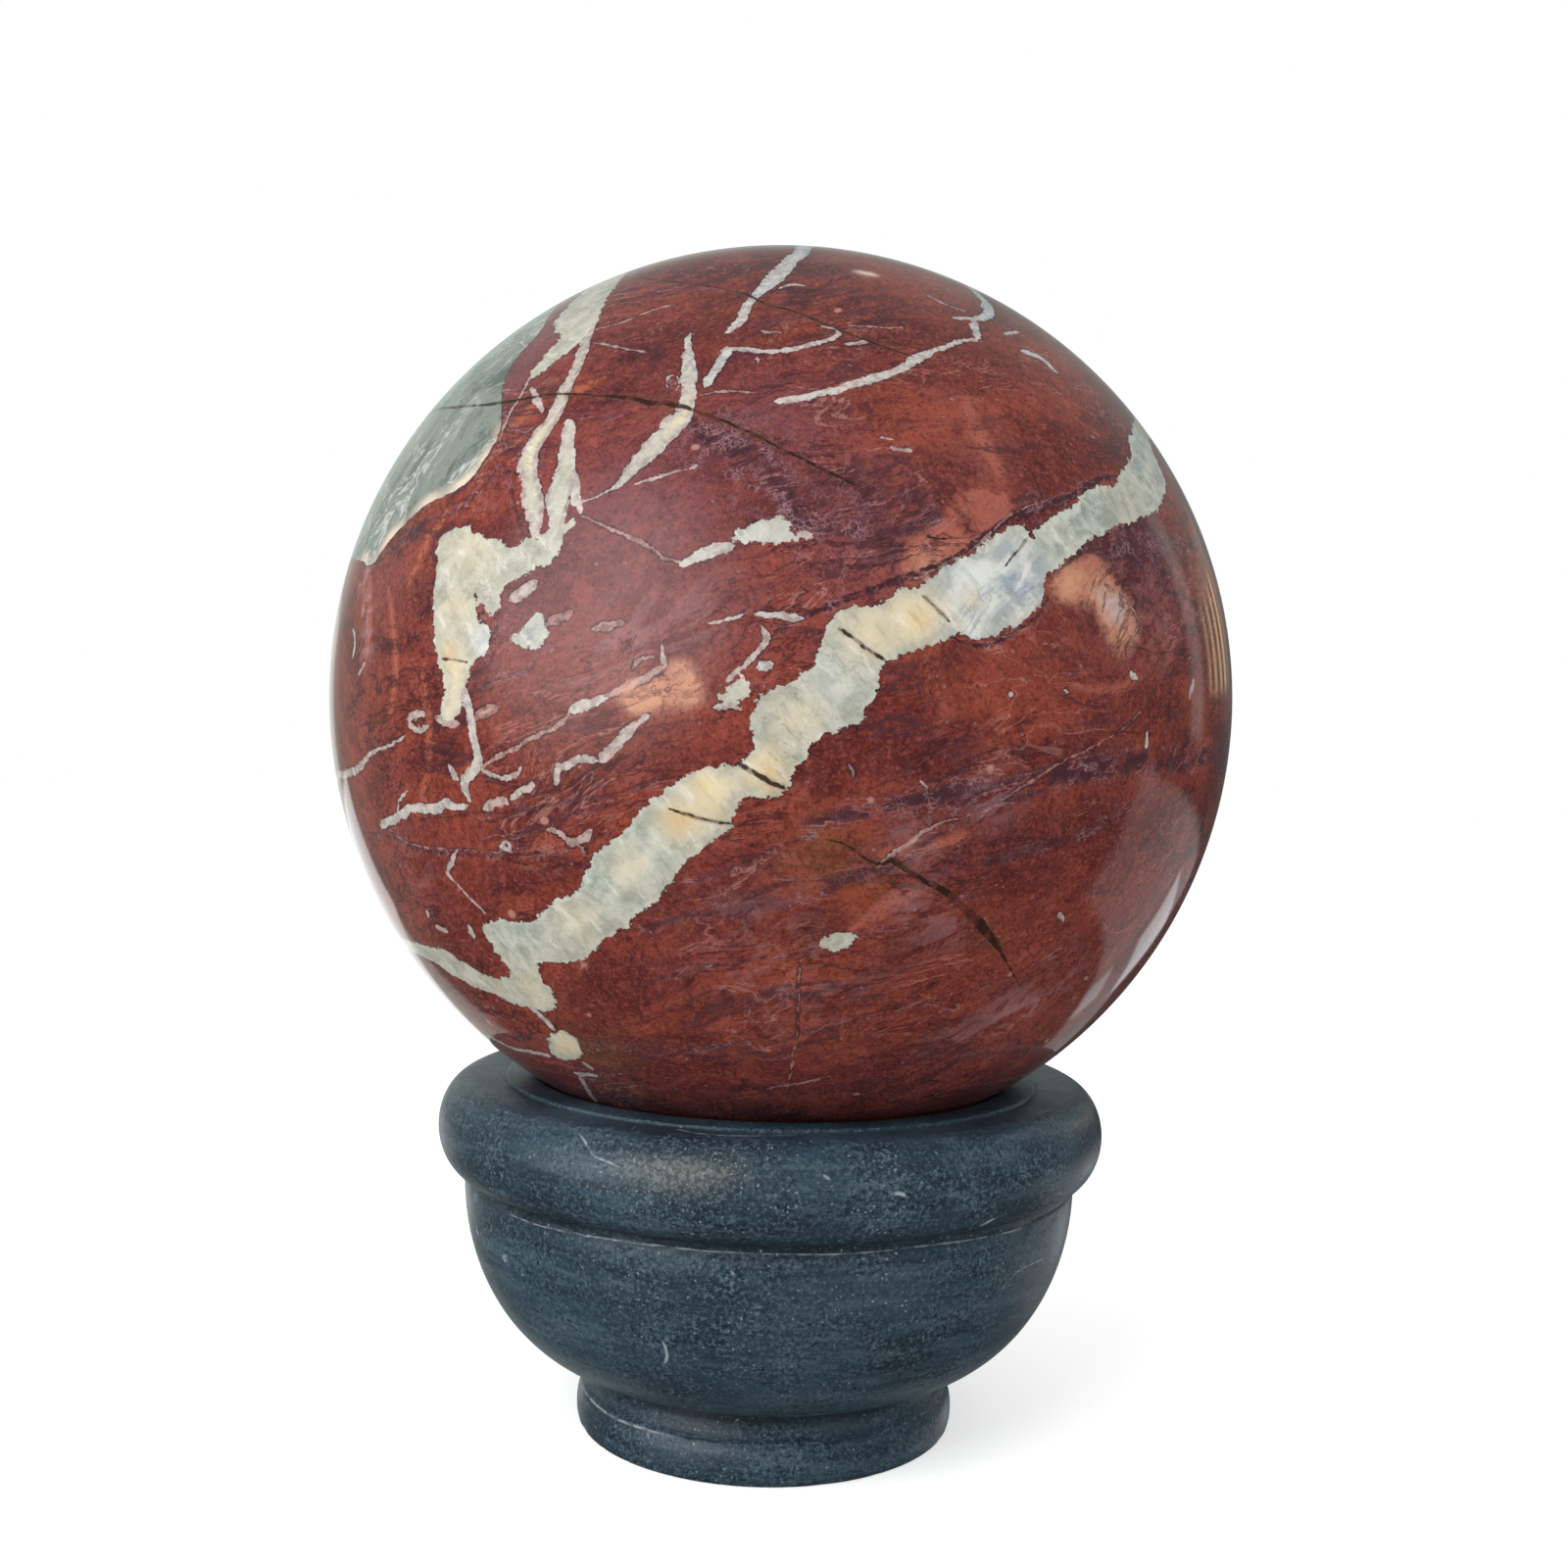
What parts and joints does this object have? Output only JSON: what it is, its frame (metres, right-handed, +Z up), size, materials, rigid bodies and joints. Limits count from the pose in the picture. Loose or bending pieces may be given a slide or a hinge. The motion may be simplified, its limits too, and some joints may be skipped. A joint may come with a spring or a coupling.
{
  "type": "decorative marble sphere on a turned stand",
  "caption": "Polished red marble ball resting in the dished seat of a turned dark stone stand with a bead rim, round bowl and ring foot.",
  "frame": {"origin": "centre of the stand's flat underside", "axes": "+Z up, along the axis that both pieces are turned round; -Y is the side that the picture shows"},
  "size_m": [0.3, 0.3, 0.3943],
  "materials": {
    "red_marble": "polished, red-brown ground with pale veins",
    "dark_stone": "honed satin, slate blue with fine pale specks"
  },
  "bodies": {
    "root": {"sphere": "red_marble", "stand": "dark_stone"}
  },
  "joints": []
}
